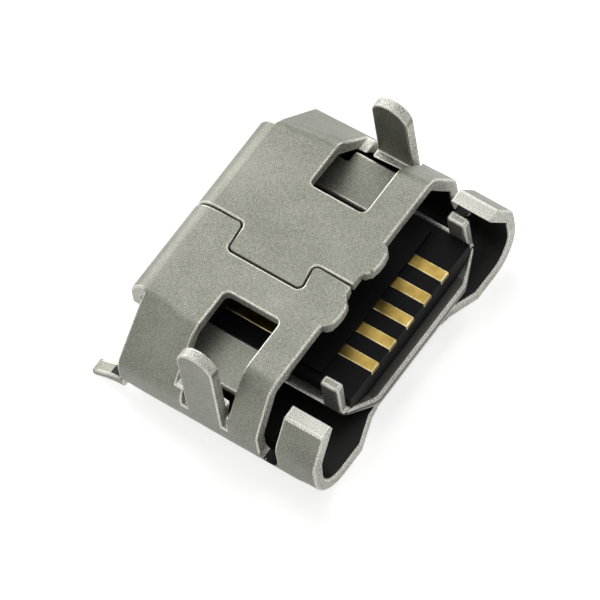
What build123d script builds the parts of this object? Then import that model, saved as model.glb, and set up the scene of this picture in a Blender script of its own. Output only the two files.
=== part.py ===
# Micro USB type B socket for a circuit board, all sizes in mm
# The mouth faces -Y, the width runs along X, the board side faces +Z
from build123d import *
import os

os.makedirs("parts", exist_ok=True)

# Sheet-metal shell
sheet = 0.28            # sheet thickness
height = 2.40           # outside height, far wall to board side
half_wide = 3.75        # half width at the far wall
half_front = 3.05       # half width of the board side at the front
half_rear = 2.50        # half width of the board side at the rear
shoulder_front = 1.35   # height where the sides lean in, at the front
shoulder_rear = 1.15    # the same at the rear
corner_r = 0.68         # outside corners at the far wall
edge_r = 0.48           # outside corners at the board side
rear_y = 3.70           # rear edge of the side walls
mouth_y = -0.95         # where the straight part of the mouth ends
lip_y = -1.48           # front edge of the flared lips
flare = 0.13            # how far a lip opens outward
lip_r = 0.92            # outside corners at the far wall, at the front edge of the lips
lip_x0 = 1.30           # where the far wall's edge starts to run out to a corner lip
lip_x1 = 2.35           # where it reaches the lip's front edge
recess_y = -1.20        # front edge of the far wall between the lips
pad_half = 0.65         # half width of the raised pad that the tongue plate rests on
pad_y = -0.55           # rear end of that pad

# Windows, legs, slots and tabs
win_x = 1.55            # inner edge of a window from the middle
win_y0 = 0.80           # front edge of a window
win_y1 = 2.22           # rear edge of a window
win_z = 1.42            # lower edge of a window in the side wall
leg_y = 1.42            # middle of a leg
leg_r = 0.46            # half width of a leg and radius of its tip
leg_rise = 0.58         # centre of the rounded leg tip above the board side
slit = 0.12             # width of the relief slit beside a leg
slit_z = 0.95           # bottom of a relief slit
slot_y = -0.45          # front side of the slot behind a side tab
slot_z = 0.74           # centre of the rounded slot bottom
tab_drop = 0.35         # how far the top of a side tab lies under the board side
nose_x = 0.75           # middle of each of the two small bumps on the front edge
nose_half = 0.45        # half width of a bump at its root
nose_y = -0.22          # front edge of the bumps

# Locked seam
seam_gap = 0.045        # width of the seam line
seam_front_x = -0.04    # where the seam meets the front edge
seam_side_x = -0.70     # the seam's run beside the lock

# Rear flap and rear horns
flap_half = 2.42        # half width of the folded rear flap
bend_share = 0.6327     # share of the flap's height that the rear bend takes
flap_y = 4.18           # rearmost face of the flap
flap_root = 0.50        # how far the flap's sheet runs into the board side
flap_gap = 0.12         # clearance between the flap's lower end and the contact tails
horn_y = 4.46           # tip of the rear horns
horn_in = 0.05          # how far a horn's outer side stands inside the side wall's face
horn_w = 0.32           # width of a horn
horn_z = 0.12           # underside of a horn at its root
horn_drop = 0.12        # how far a horn bends away from the board

# Tongue, its plate and the contacts
tongue_x = 0.35         # the tongue stands off the middle by this, as in the photo
pitch = 0.65            # contact pitch
contact_w = 0.30        # contact width
contact_t = 0.15        # contact thickness
contact_top = 1.30      # contact face
contact_y = -1.12       # front end of the contacts and of the plastic
tail_y = 4.44           # rear end of the tails
crank_y0 = -0.10        # front end of the crank that brings the contacts back to the middle
crank_y1 = 0.70         # rear end of that crank
plate_t = 0.25          # thickness of the tongue plate
plate_z = 0.46          # underside of the tongue plate
plate_half = 2.49       # half width of the tongue plate
plate_flat = 1.75       # half width of its flat bottom
plate_side = 0.86       # height where its walls turn up
wall_room = 0.20        # room between its upturned walls and the board side
plate_y = -1.38         # front edge of the tongue plate
wall_y0 = -1.02         # front end of the upturned walls
wall_y1 = -0.55         # rear end of the upturned walls
ear_z = 1.32            # underside of the plate's ears behind the windows
ear_t = 0.20            # thickness of an ear
ear_in = 0.10           # how far an ear's inner edge stands outside the tongue's near side
ear_rear = 0.50         # how far an ear reaches behind its window
ear_gap = 0.03          # clearance between an ear and the side wall
cover_y0 = -0.25        # front edge of the plastic bar over the contacts
cover_y1 = 0.90         # rear edge of that bar
cover_t = 0.09          # height of that bar
block_y0 = 2.45         # front of the housing block
block_y1 = 3.54         # rear of the housing block
fit_gap = 0.02          # clearance between the housing block and the shell

# Places that follow from the shell's height and width and from the contacts
leg_z = height + leg_rise
tab_z = height - tab_drop
flap_z = contact_top + flap_gap
bend_r = bend_share * (height - flap_z)
plate_top = height - sheet - wall_room
horn_x1 = half_wide - horn_in
horn_x0 = horn_x1 - horn_w


def section(y, top_half, shoulder_z, grow=0.0, drop=0.0, low_r=corner_r):
    """Cross-section of the shell at one depth, grown or shrunk by an offset, its far wall lowered by a drop."""
    with BuildSketch(Plane.XZ.offset(-y)) as outline:
        with BuildLine():
            Polyline((-half_wide, -drop), (half_wide, -drop), (half_wide, shoulder_z), (top_half, height),
                     (-top_half, height), (-half_wide, shoulder_z), close=True)
        make_face()
        fillet(outline.vertices().group_by(Axis.Y)[0], low_r)
        fillet(outline.vertices().group_by(Axis.Y)[-1], edge_r)
        fillet(outline.vertices().filter_by(lambda v: abs(v.Y - shoulder_z) < 1e-6), edge_r)
        if grow:
            offset(amount=grow)
    return outline.sketch


def body(grow, mode=Mode.ADD):
    """The tube from the rear to the lips, tapered behind the mouth and flared at its end."""
    front = section(0, half_front, shoulder_front, grow)
    loft(sections=[section(rear_y, half_rear, shoulder_rear, grow), front], mode=mode)
    extrude(front, amount=-mouth_y, mode=mode)
    loft(sections=[section(mouth_y, half_front, shoulder_front, grow),
                   section((mouth_y + lip_y) / 2, half_front, shoulder_front, grow, flare * 0.25,
                           corner_r + (lip_r - corner_r) / 2),
                   section(lip_y, half_front, shoulder_front, grow, flare, lip_r)], mode=mode)


# Shell, one folded sheet
with BuildPart() as shell:
    body(0.0)
    body(-sheet, Mode.SUBTRACT)

    # front of the board side, cut back behind the far wall, with a small bump on each side of its seam
    with BuildSketch(Plane.XY.offset(slot_z)):
        with Locations((0, slot_y / 2)):
            Rectangle(4 * half_wide, -slot_y)
        for side in (1, -1):
            with BuildLine():
                Spline((side * (nose_x - nose_half), 0), (side * (nose_x - nose_half * 0.55), nose_y * 0.85),
                       (side * nose_x, nose_y), (side * (nose_x + nose_half * 0.55), nose_y * 0.85),
                       (side * (nose_x + nose_half), 0))
                Polyline((side * (nose_x + nose_half), 0), (side * (nose_x + nose_half), 0.2),
                         (side * (nose_x - nose_half), 0.2), (side * (nose_x - nose_half), 0))
            make_face(mode=Mode.SUBTRACT)
    extrude(amount=2 * height, mode=Mode.SUBTRACT)
    with BuildSketch(Plane.YZ):
        with Locations((slot_y / 2, slot_z)):
            Circle(-slot_y / 2)
    extrude(amount=2 * half_wide, both=True, mode=Mode.SUBTRACT)
    with BuildSketch(Plane.XY.offset(tab_z)):
        with Locations((0, slot_y - 1)):
            Rectangle(4 * half_wide, 2.0)
    extrude(amount=height, mode=Mode.SUBTRACT)

    # far wall: its edge set back between the corner lips, and the pad under the tongue plate
    with BuildSketch(Plane.XY.offset(-1)) as front:
        with BuildLine():
            Polyline((-lip_x0, recess_y), (lip_x0, recess_y), (lip_x1, lip_y - 0.05), (lip_x1, lip_y - 1),
                     (-lip_x1, lip_y - 1), (-lip_x1, lip_y - 0.05), close=True)
        make_face()
        fillet(front.vertices().group_by(Axis.Y)[-1], 0.8)
    extrude(amount=1.6, mode=Mode.SUBTRACT)
    with BuildSketch(Plane.XY.offset(sheet / 2)) as pad:
        with Locations((tongue_x, (recess_y + pad_y) / 2)):
            Rectangle(2 * pad_half, pad_y - recess_y)
    extrude(amount=plate_z - sheet / 2)

    # windows over the shoulders, with the legs standing in them
    for side in (1, -1):
        with BuildSketch(Plane.XY.offset(win_z)) as win:
            with Locations((side * (win_x + 2), (win_y0 + win_y1) / 2)):
                Rectangle(4, win_y1 - win_y0)
            fillet(win.vertices(), 0.14)
        extrude(amount=2 * height, mode=Mode.SUBTRACT)
        with BuildSketch(Plane.XY.offset(slit_z)):
            with Locations((side * half_wide, leg_y - leg_r - slit / 2), (side * half_wide, leg_y + leg_r + slit / 2)):
                Rectangle(4 * sheet, slit)
        extrude(amount=height, mode=Mode.SUBTRACT)
        with BuildSketch(Plane.YZ.offset(side * (half_wide - sheet / 2))):
            with Locations((leg_y, (leg_z + slit_z) / 2)):
                Rectangle(2 * leg_r, leg_z - slit_z)
            with Locations((leg_y, leg_z)):
                Circle(leg_r)
        extrude(amount=sheet / 2, both=True)

    # rear bend and flap
    with BuildSketch(Plane.YZ):
        with BuildLine():
            l1 = Line((rear_y - flap_root, height), (flap_y - bend_r, height))
            l2 = RadiusArc(l1 @ 1, (flap_y, height - bend_r), bend_r)
            l3 = Line(l2 @ 1, (flap_y, flap_z))
            l4 = Line(l3 @ 1, (flap_y - sheet, flap_z))
            l5 = Line(l4 @ 1, (flap_y - sheet, height - bend_r))
            l6 = RadiusArc(l5 @ 1, (flap_y - bend_r, height - sheet), -(bend_r - sheet))
            l7 = Line(l6 @ 1, (rear_y - flap_root, height - sheet))
            Line(l7 @ 1, l1 @ 0)
        make_face()
    extrude(amount=flap_half, both=True)

    # rear horns, narrow strips drawn out of the far wall's corners and bent a little away from the board
    for side in (1, -1):
        with BuildSketch(Plane.YZ.offset(side * (horn_x0 + horn_x1) / 2)):
            with BuildLine():
                h1 = Spline((rear_y - 0.06, horn_z), (horn_y, -horn_drop), tangents=[(1, 0), (1, -0.35)])
                h2 = ThreePointArc(h1 @ 1, (horn_y + 0.08, sheet * 0.42 - horn_drop), (horn_y - 0.03, sheet * 0.85 - horn_drop))
                h3 = Spline(h2 @ 1, (rear_y - 0.06, horn_z + sheet), tangents=[(-1, 0.35), (-1, 0)])
                Line(h3 @ 1, h1 @ 0)
            make_face()
        extrude(amount=(horn_x1 - horn_x0) / 2, both=True)

    # locked seam along the board side and down the rear flap
    with BuildSketch(Plane.XY.offset(flap_z - 0.2)):
        with BuildLine():
            FilletPolyline((0, flap_y + 1), (0, 2.86), (seam_side_x, 2.78), (seam_side_x, 0.88),
                           (seam_front_x, 0.97), (seam_front_x, nose_y - 1), radius=0.13)
        trace(line_width=seam_gap)
    extrude(amount=height, mode=Mode.SUBTRACT)

def bar(i, height_z):
    """Outline of one contact seen from the board side: straight on the tongue, cranked, straight again."""
    front, rear, w = tongue_x + pitch * i, pitch * i, contact_w / 2
    with BuildSketch(Plane.XY.offset(height_z)) as outline:
        with BuildLine():
            Polyline((front - w, contact_y), (front + w, contact_y), (front + w, crank_y0), (rear + w, crank_y1),
                     (rear + w, tail_y), (rear - w, tail_y), (rear - w, crank_y1), (front - w, crank_y0), close=True)
        make_face()
    return outline.sketch


# Black housing: the block at the rear, and the tongue with its bar over the contacts
tongue_z = plate_z + plate_t
inner_flat = plate_flat - 0.05
inner_half = plate_half - plate_t
inner_side = plate_side + 0.10
ear_x = inner_half - tongue_x + ear_in
with BuildPart() as housing:
    loft(sections=[section(rear_y, half_rear, shoulder_rear, -sheet - fit_gap),
                   section(0, half_front, shoulder_front, -sheet - fit_gap)])
    with BuildSketch(Plane.XY.offset(-1)):
        with Locations((0, (block_y0 + block_y1) / 2)):
            Rectangle(4 * half_wide, block_y1 - block_y0)
    extrude(amount=3 * height, mode=Mode.INTERSECT)
    with BuildSketch(Plane((tongue_x, block_y0 + 0.1, 0), x_dir=(1, 0, 0), z_dir=(0, -1, 0))):
        with BuildLine():
            Polyline((-inner_flat, tongue_z), (inner_flat, tongue_z), (inner_half, inner_side),
                     (inner_half, contact_top), (-inner_half, contact_top), (-inner_half, inner_side), close=True)
        make_face()
    extrude(amount=block_y0 + 0.1 - contact_y)
    with BuildSketch(Plane.XY.offset(contact_top)):
        with Locations((tongue_x, (cover_y0 + cover_y1) / 2)):
            Rectangle(4 * pitch + 5 * contact_w, cover_y1 - cover_y0)
    extrude(amount=cover_t)
    # corners left open behind the windows, where the plate's ears reach back
    for side in (1, -1):
        with BuildSketch(Plane.XY.offset(ear_z - fit_gap)):
            with Locations((side * (ear_x + half_wide) / 2, (win_y1 + ear_rear) / 2)):
                Rectangle(half_wide - ear_x + 2 * fit_gap, win_y1 + ear_rear + 2 * fit_gap)
        extrude(amount=height, mode=Mode.SUBTRACT)
    # channels for the contacts
    for i in (-2, -1, 0, 1, 2):
        extrude(bar(i, contact_top - contact_t), amount=contact_t, mode=Mode.SUBTRACT)

# Metal plate around the tongue, with upturned walls in front and an ear behind each window
with BuildPart() as tongue_plate:
    with BuildSketch(Plane((tongue_x, block_y0, 0), x_dir=(1, 0, 0), z_dir=(0, -1, 0))) as channel:
        with BuildLine():
            Polyline((-plate_flat, plate_z), (plate_flat, plate_z), (plate_half, plate_side), (plate_half, plate_top),
                     (inner_half, plate_top), (inner_half, inner_side), (inner_flat, tongue_z),
                     (-inner_flat, tongue_z), (-inner_half, inner_side), (-inner_half, plate_top),
                     (-plate_half, plate_top), (-plate_half, plate_side), close=True)
        make_face()
        fillet(channel.vertices().filter_by(lambda v: abs(abs(v.X) - plate_half) < 1e-6 and abs(v.Y - plate_side) < 1e-6), 0.3)
        fillet(channel.vertices().filter_by(lambda v: abs(abs(v.X) - plate_flat) < 1e-6 and abs(v.Y - plate_z) < 1e-6), 0.4)
    extrude(amount=block_y0 - plate_y)
    with BuildSketch(Plane.XY.offset(inner_side)):
        with Locations((tongue_x, wall_y1 + 2)):
            Rectangle(3 * plate_half, 4)
        with Locations((tongue_x, wall_y0 - 1)):
            Rectangle(3 * plate_half, 2)
    extrude(amount=height, mode=Mode.SUBTRACT)
    for side in (1, -1):
        with BuildSketch(Plane.XY.offset(plate_z - 0.1)):
            with BuildLine():
                Polyline((tongue_x + side * (plate_flat - 0.15), plate_y), (tongue_x + side * (plate_half + 0.1), wall_y0),
                         (tongue_x + side * (plate_half + 0.1), plate_y - 0.2),
                         (tongue_x + side * (plate_flat - 0.15), plate_y - 0.2), close=True)
            make_face()
        extrude(amount=inner_side - plate_z + 0.1, mode=Mode.SUBTRACT)
    ear_wall = half_wide - sheet - (half_wide - half_front) * 0.42 - ear_gap
    for side in (1, -1):
        with BuildSketch(Plane.XZ.offset(-win_y1)):
            with Locations((side * (ear_x + ear_wall) / 2, ear_z + ear_t / 2)):
                Rectangle(ear_wall - ear_x, ear_t)
            with Locations((tongue_x + side * (inner_half + plate_t / 2), (inner_side + ear_z) / 2)):
                Rectangle(plate_t, ear_z - inner_side)
        extrude(amount=win_y1 - win_y0 + 0.3)
        with BuildSketch(Plane.XZ.offset(-win_y1 - ear_rear)):
            with Locations((side * (ear_x + ear_wall - 0.3) / 2, ear_z + ear_t / 2)):
                Rectangle(ear_wall - ear_x - 0.3, ear_t)
        extrude(amount=ear_rear)

# One contact: a flat bar along the tongue, cranked under the plastic bar, that ends in a tail at the rear
contacts = []
for i in (-2, -1, 0, 1, 2):
    with BuildPart() as contact:
        extrude(bar(i, contact_top - contact_t), amount=contact_t)
    contacts.append(contact)

# Origin at the middle of the footprint, at the lowest point of the lips
home = Location((0, -(lip_y + shell.part.bounding_box().max.Y) / 2, flare))
export_step(shell.part.moved(home), "parts/shell.step")
export_step(housing.part.moved(home), "parts/housing.step")
export_step(tongue_plate.part.moved(home), "parts/tongue_plate.step")
for i in range(5):
    export_step(contacts[i].part.moved(home), "parts/contact_%d.step" % (i + 1))
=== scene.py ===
import math

import bmesh
import bpy
from mathutils import Matrix, Vector


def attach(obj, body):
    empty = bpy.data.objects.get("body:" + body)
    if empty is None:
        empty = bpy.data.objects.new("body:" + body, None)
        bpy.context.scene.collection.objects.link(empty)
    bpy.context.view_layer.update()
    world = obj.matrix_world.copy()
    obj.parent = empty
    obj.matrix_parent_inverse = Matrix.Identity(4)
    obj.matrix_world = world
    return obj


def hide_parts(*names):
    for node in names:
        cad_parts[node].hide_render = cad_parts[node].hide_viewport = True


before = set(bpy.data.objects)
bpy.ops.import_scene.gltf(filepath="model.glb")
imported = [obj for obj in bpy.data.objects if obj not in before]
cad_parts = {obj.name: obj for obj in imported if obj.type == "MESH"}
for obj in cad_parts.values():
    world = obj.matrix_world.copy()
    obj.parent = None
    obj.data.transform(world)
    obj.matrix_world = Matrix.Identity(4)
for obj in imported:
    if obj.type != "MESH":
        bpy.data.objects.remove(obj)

bl_info = {
    "name": "Micro USB socket",
    "version": (1, 0, 0),
    "blender": (4, 5, 0),
    "location": "3D View > Sidebar > Socket",
    "description": "Dresses the packed micro USB socket with plated steel, moulded plastic and gold",
    "category": "Object",
}

MM = 0.001
CONTACT_NODES = ["contact_%d" % i for i in range(1, 6)]

# How the sides of the folded shell are told apart; faces inside the tube take painted shade and
# cut faces a painted highlight. Heights marked + are above the tube's centre.
OUTSIDE, SHADED_INSIDE, HIGHLIT_CUT = range(3)
TUBE_CENTRE = Vector((0.0, 0.0, 1.33)) * MM
TUBE_CORE = 2.4 * MM                        # half width of the tube's flat middle
FLAP_REAR = 2.25 * MM                       # behind this, what looks forward or back is the flap
LEG_TOP = 1.3 * MM                          # +, the legs' rounded tips are higher
TAB_FRONT, TAB_LOW = -2.0 * MM, 0.6 * MM    # the side tabs' ends are further forward, and + higher
LEG_X, LEG_Z = 3.2 * MM, 0.37 * MM          # the legs are further out, and + higher
HORN_X, HORN_Y, HORN_Z = 2.3 * MM, 2.5 * MM, -0.53 * MM    # the horns are out, back and + lower
# Cosines from which a face looks up, along the tube, forward or back on the flap, and out or in,
# and the one under which a face that looks along the tube counts as cut
UPWARD, ENDWAYS, FLAP_WAY, FACING, ON_EDGE = 0.3, 0.7, 0.5, 0.25, 0.6

# Rear bend of the shell: its start, the tube's rear edge, its top, its radius and its half width
BEND_START, TUBE_END, BEND_TOP = 2.03 * MM, 2.1704 * MM, 2.53 * MM
BEND_RADIUS, BEND_HALF = 0.62 * MM, 2.43 * MM
# Planes that cut the tube's rear edge into short faces: a point in mm, and the way the plane faces
REAR_CUTS = (((0, 0, 2.1), (0, 0, 1)), ((0, 0, 1.33), (0, 0, 1)), ((0, 0, 0), (1, 0, 0)))
LONG_FACE = 12                              # a face with more corners than this is long
BOARD_UP, REAR_WAY = 0.999, 0.99            # cosines: flat on the board side, flat on the rear edge

# Rounding of the edges
MERGE = 0.0001 * MM                         # corners nearer than this are one
LEVEL = math.radians(0.5)                   # faces that meet at less than this are one
SHARP = math.radians(32)                    # edges that turn by more than this are rounded
NARROW = 0.018 * MM                         # a face narrower than this has no room for a rounding
ROUND_STEPS = 3
SLEEVE_SHARE, CONTACT_SHARE = 1.5, 0.6      # roundings of the other pieces, as shares of the shell's

# Sides of the tongue's plate: its channel, darkened with painted shade, and its hooks and ears
SHADED_CHANNEL, EAR = range(2)
HOOK_ROOT = 1.0 * MM                        # the hooks rise above this
EAR_UP = 0.9                                # cosine from which a face in the rear half is an ear's

# Share of the plate's cloudy patches in its tone, beside the whole of its grain
CLOUD_SHARE = 0.22

# Light: the world's plain level on a surface, the floor's own glow where it is seen, and the
# softboxes (name, place from the view's centre in mm, side in mm, share of the lamp power)
WORLD_LEVEL = 0.30
FLOOR_GLOW = 0.62
SOFTBOXES = (("key", (54, 53, 129), 80, 1.2), ("rear", (57, 142, 42), 110, 3.2),
             ("left", (-109, 53, 88), 90, 0.4), ("right", (140, 53, 14), 80, 1.1))

# View of the photograph: where the picture's right and up point, and the point in its centre
VIEW_RIGHT = Vector((0.574, -0.819, -0.096))
VIEW_UP = Vector((0.732, 0.457, 0.496))
VIEW_CENTRE = Vector((-0.524, -0.409, 1.606)) * MM
VIEW_DISTANCE = 180 * MM
PIXELS_PER_MM = 47.0
FRAME_PIXELS = 600
SENSOR_MM = 36.0
CLIP_NEAR, CLIP_FAR = 1 * MM, 10.0


def linear(hex_colour):
    """Turn an sRGB hex colour into the linear values that Blender's nodes take."""
    channels = [int(hex_colour[i:i + 2], 16) / 255 for i in (1, 3, 5)]
    return tuple(c / 12.92 if c <= 0.04045 else ((c + 0.055) / 1.055) ** 2.4 for c in channels)


def hex_colour(name, text, default):
    """A colour setting, written as sRGB hex."""
    return bpy.props.StringProperty(name=name, description=text, default=default)


def add_node(tree, kind, settings=None, links=None):
    """Add one node, set its values and sockets, and link its inputs."""
    node = tree.nodes.new(kind)
    for key, value in (settings or {}).items():
        if isinstance(key, int) or key in node.inputs:
            node.inputs[key].default_value = value
        else:
            setattr(node, key, value)
    for key, source in (links or {}).items():
        tree.links.new(source, node.inputs[key])
    return node


def new_material(name):
    """A material and its tree, still empty."""
    material = bpy.data.materials.new(name)
    material.use_nodes = True
    material.node_tree.nodes.clear()
    return material, material.node_tree


def place_on_object(tree):
    """The places on the object that patterns run by."""
    return add_node(tree, "ShaderNodeTexCoord").outputs["Object"]


def noise(tree, place, size_mm, detail, roughness=0.5):
    """An uneven pattern from 0 to 1."""
    settings ={"Scale": 1 / (size_mm * MM), "Detail": detail, "Roughness": roughness}
    return add_node(tree, "ShaderNodeTexNoise", settings, {"Vector": place}).outputs["Fac"]


def stretched(tree, place, share):
    """Places drawn out along Y, for streaks and drawn lines."""
    return add_node(tree, "ShaderNodeMapping", {"Scale": (1.0, share, 1.0)},
                    {"Vector": place}).outputs["Vector"]


def blend(tree, value, low, dark, high, pale):
    """Go from the dark tone at the low value to the pale one at the high value."""
    node = add_node(tree, "ShaderNodeValToRGB", links={"Fac": value})
    for element, place, tone in zip(node.color_ramp.elements, (low, high), (dark, pale)):
        element.position = place
        element.color = (*linear(tone), 1.0)
    return node.outputs["Color"]


def bump(tree, height, strength, depth_mm):
    """A surface that rises and falls with a pattern."""
    return add_node(tree, "ShaderNodeBump", {"Strength": strength, "Distance": depth_mm * MM},
                    {"Height": height}).outputs["Normal"]


def finish_material(tree, shader):
    """Link a shader to the material's output."""
    add_node(tree, "ShaderNodeOutputMaterial", links={"Surface": shader.outputs[0]})


def plated_steel(name, pale, dark, grain_mm, rough_low, rough_high, metallic=0.7):
    """Tin-plated sheet steel, stamped and folded: a satin grey skin with a sandy grain that
    breaks up its highlights, and faint cloudy patches."""
    material, tree = new_material(name)
    place = place_on_object(tree)
    grain = noise(tree, place, size_mm=grain_mm, detail=3.0, roughness=0.65)
    cloud = noise(tree, place, size_mm=1.6, detail=4.0, roughness=0.55)
    faint = add_node(tree, "ShaderNodeMath", {"operation": "MULTIPLY", 1: CLOUD_SHARE}, {0: cloud})
    both = add_node(tree, "ShaderNodeMath", {"operation": "ADD"}, {0: grain, 1: faint.outputs[0]})
    rough = add_node(tree, "ShaderNodeMapRange",
                     {"From Min": 0.35, "From Max": 0.65, "To Min": rough_low, "To Max": rough_high},
                     {"Value": grain})
    tone = blend(tree, both.outputs[0], low=0.47, dark=dark, high=0.75, pale=pale)
    shader = add_node(tree, "ShaderNodeBsdfPrincipled", {"Metallic": metallic},
                      {"Base Color": tone, "Roughness": rough.outputs["Result"],
                       "Normal": bump(tree, grain, strength=0.16, depth_mm=0.006)})
    finish_material(tree, shader)
    return material


def moulded_black(name, colour, pale):
    """Glass-filled liquid-crystal polymer, injection moulded: a near-black matt skin with the
    faint grey streaks of its flow and a fine eroded texture."""
    material, tree = new_material(name)
    place = place_on_object(tree)
    flow = noise(tree, stretched(tree, place, share=0.25), size_mm=0.25, detail=5.0)
    grain = noise(tree, place, size_mm=0.05, detail=2.0)
    shader = add_node(tree, "ShaderNodeBsdfPrincipled",
                      {"Roughness": 0.62, "IOR": 1.5, "Specular IOR Level": 0.14},
                      {"Base Color": blend(tree, flow, low=0.4, dark=colour, high=0.8, pale=pale),
                       "Normal": bump(tree, grain, strength=0.25, depth_mm=0.004)})
    finish_material(tree, shader)
    return material


def plated_gold(name, pale, dark):
    """Copper alloy with hard gold plate, stamped: a soft yellow shine with long drawn lines
    along the strip and duller patches where the plating is thin."""
    material, tree = new_material(name)
    place = place_on_object(tree)
    lines = noise(tree, stretched(tree, place, share=0.06), size_mm=0.03, detail=3.0)
    patch = noise(tree, place, size_mm=0.35, detail=3.0)
    shader = add_node(tree, "ShaderNodeBsdfPrincipled", {"Metallic": 1.0, "Roughness": 0.34},
                      {"Base Color": blend(tree, patch, low=0.3, dark=dark, high=0.7, pale=pale),
                       "Normal": bump(tree, lines, strength=0.15, depth_mm=0.003)})
    finish_material(tree, shader)
    return material


def dress(node, material):
    """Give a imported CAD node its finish."""
    mesh = bpy.data.objects[node].data
    mesh.materials.clear()
    mesh.materials.append(material)


def wall_side(face):
    """Tell whether a face of the shell is outside, inside, or on the sheared edge of its sheet."""
    point = face.calc_center_median() - TUBE_CENTRE
    endways = abs(face.normal.y)
    if endways > FLAP_WAY and point.y > FLAP_REAR:
        return OUTSIDE if face.normal.y > 0 else SHADED_INSIDE
    # upward faces on the leg tips and tab ends count as cut and get the painted highlight
    if face.normal.z > UPWARD and (point.z > LEG_TOP or point.y < TAB_FRONT and point.z > TAB_LOW):
        return HIGHLIT_CUT
    if abs(point.x) > LEG_X and point.z > LEG_Z:
        return OUTSIDE
    if abs(point.x) > HORN_X and point.y > HORN_Y and point.z < HORN_Z:
        return OUTSIDE
    # from here on: does the face look away from the tube's middle, or towards it?
    point.x -= max(-TUBE_CORE, min(TUBE_CORE, point.x))
    point.y = 0
    facing = face.normal.dot(point.normalized()) if point.length > 0 else 0
    if endways > ENDWAYS and abs(facing) < ON_EDGE:
        return HIGHLIT_CUT
    return OUTSIDE if facing > FACING else SHADED_INSIDE if facing < -FACING else HIGHLIT_CUT


def plate_side(face):
    """Tell the hooks and ears of the tongue's plate from its channel."""
    centre = face.calc_center_median()
    return EAR if centre.z > HOOK_ROOT or face.normal.z > EAR_UP and centre.y > 0 else SHADED_CHANNEL


def cut_faces(shape, faces, point, way):
    """Cut some faces of a shape along a plane."""
    borders = {line for face in faces for line in face.edges}
    corners = {spot for face in faces for spot in face.verts}
    bmesh.ops.bisect_plane(shape, geom=list(faces | borders | corners), dist=MERGE,
                           plane_co=point, plane_no=way)


def ease_bend(shape):
    """Lay the rear edge of the board side down on the flap's bend, so that the two run into
    one another."""
    lowest = BEND_TOP - NARROW
    flat = {face for face in shape.faces
            if face.normal.z > BOARD_UP and face.calc_center_median().z > lowest}
    cut_faces(shape, flat, (0, BEND_START, 0), (0, 1, 0))
    for spot in shape.verts:
        x, y, z = spot.co
        if BEND_START < y < TUBE_END and abs(x) < BEND_HALF and z > lowest:
            drop = BEND_RADIUS - math.sqrt(BEND_RADIUS ** 2 - (y - BEND_START) ** 2)
            spot.co.z = min(z, BEND_TOP - drop)
    bmesh.ops.remove_doubles(shape, verts=shape.verts, dist=NARROW / 4)
    bmesh.ops.dissolve_degenerate(shape, dist=NARROW / 4, edges=shape.edges)


def part_rear_edge(shape):
    """Cut the rear edge, one long face round the whole tube, into short ones that stay simple
    when rounded."""
    for point, way in REAR_CUTS:
        long_faces = {face for face in shape.faces
                      if face.normal.y > REAR_WAY and len(face.verts) > LONG_FACE}
        cut_faces(shape, long_faces, Vector(point) * MM, way)


def weigh_edges(shape):
    """Mark the sharp edges for rounding, apart from those beside a face with no room for it."""
    weight = shape.edges.layers.float.new("bevel_weight_edge")
    for line in shape.edges:
        if len(line.link_faces) == 2 and line.calc_face_angle(0) > SHARP:
            line.smooth = False
            room = min(face.calc_area() / max(side.calc_length() for side in face.edges)
                       for face in line.link_faces)
            line[weight] = 1.0 if room > NARROW else 0.0


def round_edges(piece, width, finish):
    """Round the marked edges and give the roundings a finish."""
    bevel = piece.modifiers.new("edges", "BEVEL")
    bevel.width = width
    bevel.segments = ROUND_STEPS
    bevel.limit_method = "WEIGHT"
    bevel.use_clamp_overlap = False
    bevel.harden_normals = True
    bevel.material = finish
    graph = bpy.context.evaluated_depsgraph_get()
    piece.data = bpy.data.meshes.new_from_object(piece.evaluated_get(graph), depsgraph=graph,
                                                 preserve_all_data_layers=True)
    piece.modifiers.clear()


def keep_within(piece, node):
    """Hold a piece in its packed box, which rounding leaves by under a micrometre at some
    corners."""
    packed = [spot.co for spot in bpy.data.objects[node].data.vertices]
    low, high = ([pick(co[i] for co in packed) for i in range(3)] for pick in (min, max))
    for spot in piece.data.vertices:
        spot.co = [min(max(value, least), most) for value, least, most in zip(spot.co, low, high)]


def edged_skin(node, name, width, finishes, side_of):
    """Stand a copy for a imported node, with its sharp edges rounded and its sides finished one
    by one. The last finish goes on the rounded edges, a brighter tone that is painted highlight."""
    shape = bmesh.new()
    shape.from_mesh(bpy.data.objects[node].data)
    bmesh.ops.remove_doubles(shape, verts=shape.verts, dist=MERGE)
    if node == "shell":
        ease_bend(shape)
    bmesh.ops.dissolve_limit(shape, angle_limit=LEVEL, verts=shape.verts, edges=shape.edges)
    if node == "shell":
        part_rear_edge(shape)
    shape.normal_update()
    for face in shape.faces:
        face.material_index = side_of(face)
        face.smooth = True
    weigh_edges(shape)
    mesh = bpy.data.meshes.new(name)
    shape.to_mesh(mesh)
    shape.free()
    for finish in finishes:
        mesh.materials.append(finish)
    piece = bpy.data.objects.new(name, mesh)
    bpy.context.scene.collection.objects.link(piece)
    round_edges(piece, width, len(finishes) - 1)
    keep_within(piece, node)
    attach(piece, "root")
    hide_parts(node)


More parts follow.
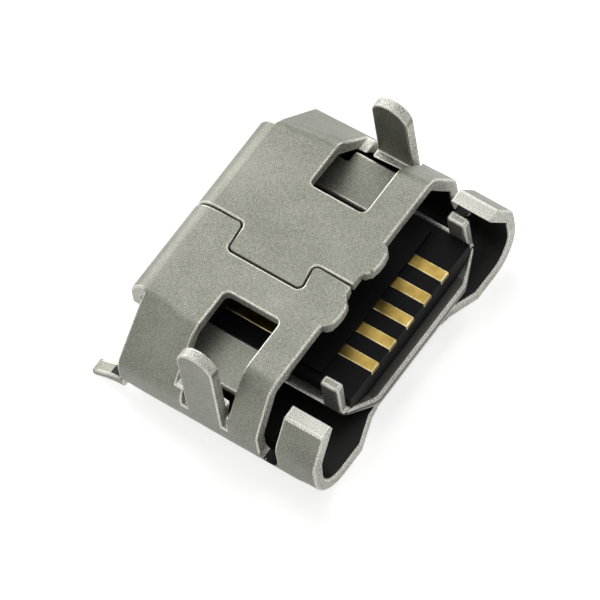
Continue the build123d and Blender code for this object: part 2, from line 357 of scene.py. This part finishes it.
class SocketFinish(bpy.types.PropertyGroup):
    steel_pale: hex_colour("Plate, pale", "Brightest tone of the tin plate", "#9E9F93")
    steel_dark: hex_colour("Plate, dark", "Darkest tone of the tin plate", "#5C5D54")
    # the sheared edge tone is painted highlight, on the shell's cut faces and on the rounded rims
    edge_highlight_tone: hex_colour("Sheared edge", "Bright tone of the cut edges", "#E6E5DC")
    # the inside tones are painted shade on the shell's inner walls
    inside_shade_pale: hex_colour("Inside, pale", "Pale tone of the painted shade on the inner walls", "#1C1C1A")
    inside_shade_dark: hex_colour("Inside, dark", "Dark tone of the painted shade on the inner walls", "#090908")
    # the sleeve tones are darkened with painted shade on the plate's channel
    sleeve_shade_pale: hex_colour("Sleeve, pale", "Brightest tone of the plate around the tongue", "#75756E")
    sleeve_shade_dark: hex_colour("Sleeve, dark", "Darkest tone of the plate around the tongue", "#4A4A45")
    black: hex_colour("Plastic", "Main tone of the moulded housing", "#030304")
    black_pale: hex_colour("Plastic, pale", "Tone of the flow streaks", "#080809")
    gold_pale: hex_colour("Gold, pale", "Bright tone of the gold plate", "#968045")
    gold_dark: hex_colour("Gold, dark", "Thin patches in the gold plate", "#705D2E")
    # the gold edge tone is painted highlight on the contacts' rounded edges
    gold_edge_highlight: hex_colour("Gold, edge", "Bright tone of the painted highlight on the rounded edges", "#F0E3B8")
    edge_width: bpy.props.FloatProperty(
        name="Edge rounding", description="Width of a rounded sheet edge, in mm",
        default=0.045, min=0.005, max=0.1)
    grain: bpy.props.FloatProperty(
        name="Grain", description="Size of the sandy grain in the plate, in mm",
        default=0.02, min=0.01, max=0.5)


class StageSettings(bpy.types.PropertyGroup):
    floor_colour: hex_colour("Floor", "Colour of the pale floor", "#FFFFFF")
    floor_size: bpy.props.FloatProperty(
        name="Floor size", description="Side of the floor",
        default=0.4, min=0.05, max=2.0, unit="LENGTH")
    lamp_power: bpy.props.FloatProperty(
        name="Lamp power", description="Power that one share of a softbox stands for, in watts",
        default=0.035, min=0.0, max=10.0)


class SOCKET_OT_shell(bpy.types.Operator):
    """Finish the folded shell in tin-plated steel"""
    bl_idname = "socket.shell"
    bl_label = "Shell"

    def execute(self, context):
        look = context.scene.socket_finish
        pale, dark, bright, grain = look.steel_pale, look.steel_dark, look.edge_highlight_tone, look.grain
        # the sheet's satin skin, its inner walls darkened with painted shade, its rough cuts and the
        # smooth rims brightened with painted highlight where they catch the light
        plate = plated_steel("tin_plated_steel", pale, dark, grain,
                             rough_low=0.36, rough_high=0.52)
        inside = plated_steel("inner_steel_painted_shade", look.inside_shade_pale, look.inside_shade_dark, grain,
                              rough_low=0.5, rough_high=0.65, metallic=0.5)
        cut = plated_steel("sheared_steel_highlight", bright, dark, grain, rough_low=0.4, rough_high=0.6)
        edge = plated_steel("edge_highlight_steel", bright, pale, grain,
                            rough_low=0.24, rough_high=0.34)
        edged_skin("shell", "shell_plate", look.edge_width * MM, (plate, inside, cut, edge),
                   wall_side)
        return {"FINISHED"}


class SOCKET_OT_tongue(bpy.types.Operator):
    """Finish the black housing and the metal plate around its tongue"""
    bl_idname = "socket.tongue"
    bl_label = "Tongue and housing"

    def execute(self, context):
        look = context.scene.socket_finish
        pale, dark, grain = look.sleeve_shade_pale, look.sleeve_shade_dark, look.grain
        dress("housing", moulded_black("moulded_polymer", look.black, look.black_pale))
        # a satin skin darkened from the shell's with painted shade, its rims brightened with painted
        # highlight, and ears as pale as the shell
        plate = plated_steel("stamped_steel_painted_shade", pale, dark, grain, rough_low=0.36, rough_high=0.52)
        edge = plated_steel("stamped_edge_highlight", look.edge_highlight_tone, pale, grain,
                            rough_low=0.28, rough_high=0.4)
        ear = plated_steel("stamped_ear", look.steel_pale, look.steel_dark, grain,
                           rough_low=0.4, rough_high=0.55)
        edged_skin("tongue_plate", "tongue_sleeve", look.edge_width * SLEEVE_SHARE * MM,
                   (plate, ear, edge), plate_side)
        return {"FINISHED"}


class SOCKET_OT_contacts(bpy.types.Operator):
    """Finish the contacts in gold plate"""
    bl_idname = "socket.contacts"
    bl_label = "Contacts"

    def execute(self, context):
        look = context.scene.socket_finish
        # the plate's soft yellow, and a brighter gold on its rounded edges that is painted highlight
        gold = plated_gold("gold_plate", look.gold_pale, look.gold_dark)
        edge = plated_gold("gold_edge_highlight", look.gold_edge_highlight, look.gold_pale)
        for node in CONTACT_NODES:
            edged_skin(node, node + "_bar", look.edge_width * CONTACT_SHARE * MM, (gold, edge),
                       lambda face: 0)
        return {"FINISHED"}


def seen_directly(tree):
    """1 for what the camera sees itself, in metal or through glass, and 0 for the light that
    falls on a surface."""
    path = add_node(tree, "ShaderNodeLightPath")
    pair = add_node(tree, "ShaderNodeMath", {"operation": "MAXIMUM"},
                    {0: path.outputs["Is Camera Ray"], 1: path.outputs["Is Glossy Ray"]})
    every = add_node(tree, "ShaderNodeMath", {"operation": "MAXIMUM"},
                     {0: pair.outputs[0], 1: path.outputs["Is Transmission Ray"]})
    return every.outputs[0]


def lay_floor(stage):
    """A floor that is white to the camera and in metal, and plain white paint to the lamps."""
    mesh = bpy.data.meshes.new("floor")
    shape = bmesh.new()
    bmesh.ops.create_grid(shape, x_segments=4, y_segments=4, size=stage.floor_size / 2)
    shape.to_mesh(mesh)
    shape.free()
    floor = bpy.data.objects.new("floor", mesh)
    bpy.context.scene.collection.objects.link(floor)
    material, tree = new_material("pale_floor")
    matt = add_node(tree, "ShaderNodeBsdfDiffuse", {"Color": (*linear(stage.floor_colour), 1.0)})
    seen = add_node(tree, "ShaderNodeMath", {"operation": "MULTIPLY", 1: FLOOR_GLOW},
                    {0: seen_directly(tree)})
    white = add_node(tree, "ShaderNodeEmission", links={"Strength": seen.outputs[0]})
    both = add_node(tree, "ShaderNodeAddShader", links={0: matt.outputs[0], 1: white.outputs[0]})
    finish_material(tree, both)
    mesh.materials.append(material)


def light_world():
    """White behind the object and in its reflections, and a plain level on its surfaces."""
    world = bpy.data.worlds.new("studio")
    bpy.context.scene.world = world
    world.use_nodes = True
    tree = world.node_tree
    tree.nodes.clear()
    level = add_node(tree, "ShaderNodeMath",
                     {"operation": "MULTIPLY_ADD", 1: 1 - WORLD_LEVEL, 2: WORLD_LEVEL},
                     {0: seen_directly(tree)})
    sky = add_node(tree, "ShaderNodeBackground", {"Color": (1, 1, 1, 1)},
                   {"Strength": level.outputs[0]})
    add_node(tree, "ShaderNodeOutputWorld", links={"Surface": sky.outputs[0]})


def soft_light(name, way, size, power):
    """A square softbox that looks at the view's centre."""
    data = bpy.data.lights.new(name, "AREA")
    data.size = size
    data.energy = power
    lamp = bpy.data.objects.new(name, data)
    lamp.location = VIEW_CENTRE + way
    lamp.rotation_euler = (-way).to_track_quat("-Z", "Y").to_euler()
    bpy.context.scene.collection.objects.link(lamp)


def set_camera():
    """A camera at the photograph's viewpoint."""
    right = VIEW_RIGHT.normalized()
    back = right.cross(VIEW_UP).normalized()
    up = back.cross(right)
    data = bpy.data.cameras.new("camera")
    data.sensor_width = SENSOR_MM
    data.lens = SENSOR_MM * (VIEW_DISTANCE / MM) / (FRAME_PIXELS / PIXELS_PER_MM)
    data.clip_start = CLIP_NEAR
    data.clip_end = CLIP_FAR
    camera = bpy.data.objects.new("camera", data)
    turn = Matrix((right, up, back)).transposed().to_4x4()
    camera.matrix_world = Matrix.Translation(VIEW_CENTRE + back * VIEW_DISTANCE) @ turn
    bpy.context.scene.collection.objects.link(camera)
    bpy.context.scene.camera = camera


class SOCKET_OT_stage(bpy.types.Operator):
    """Build the pale floor, the soft lights and the camera"""
    bl_idname = "socket.stage"
    bl_label = "Stage"

    def execute(self, context):
        stage = context.scene.socket_stage
        lay_floor(stage)
        light_world()
        for name, way, size, share in SOFTBOXES:
            soft_light(name, Vector(way) * MM, size * MM, stage.lamp_power * share)
        set_camera()
        context.scene.view_settings.view_transform = "Standard"
        return {"FINISHED"}


class SOCKET_PT_panel(bpy.types.Panel):
    """Buttons for each group of pieces and the finish settings"""
    bl_idname = "SOCKET_PT_panel"
    bl_label = "Micro USB socket"
    bl_space_type = "VIEW_3D"
    bl_region_type = "UI"
    bl_category = "Socket"

    def draw(self, context):
        column = self.layout.column(align=True)
        for step in STEPS:
            column.operator("socket." + step)
        for group in (context.scene.socket_finish, context.scene.socket_stage):
            for key in group.__annotations__:
                column.prop(group, key)


STEPS = ("shell", "tongue", "contacts", "stage")
CLASSES = (SocketFinish, StageSettings, SOCKET_OT_shell, SOCKET_OT_tongue, SOCKET_OT_contacts,
           SOCKET_OT_stage, SOCKET_PT_panel)


def register():
    for item in CLASSES:
        bpy.utils.register_class(item)
    bpy.types.Scene.socket_finish = bpy.props.PointerProperty(type=SocketFinish)
    bpy.types.Scene.socket_stage = bpy.props.PointerProperty(type=StageSettings)


def unregister():
    del bpy.types.Scene.socket_stage
    del bpy.types.Scene.socket_finish
    for item in reversed(CLASSES):
        bpy.utils.unregister_class(item)


def main():
    register()
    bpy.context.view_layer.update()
    for step in STEPS:
        getattr(bpy.ops.socket, step)()


if __name__ == "__main__":
    main()
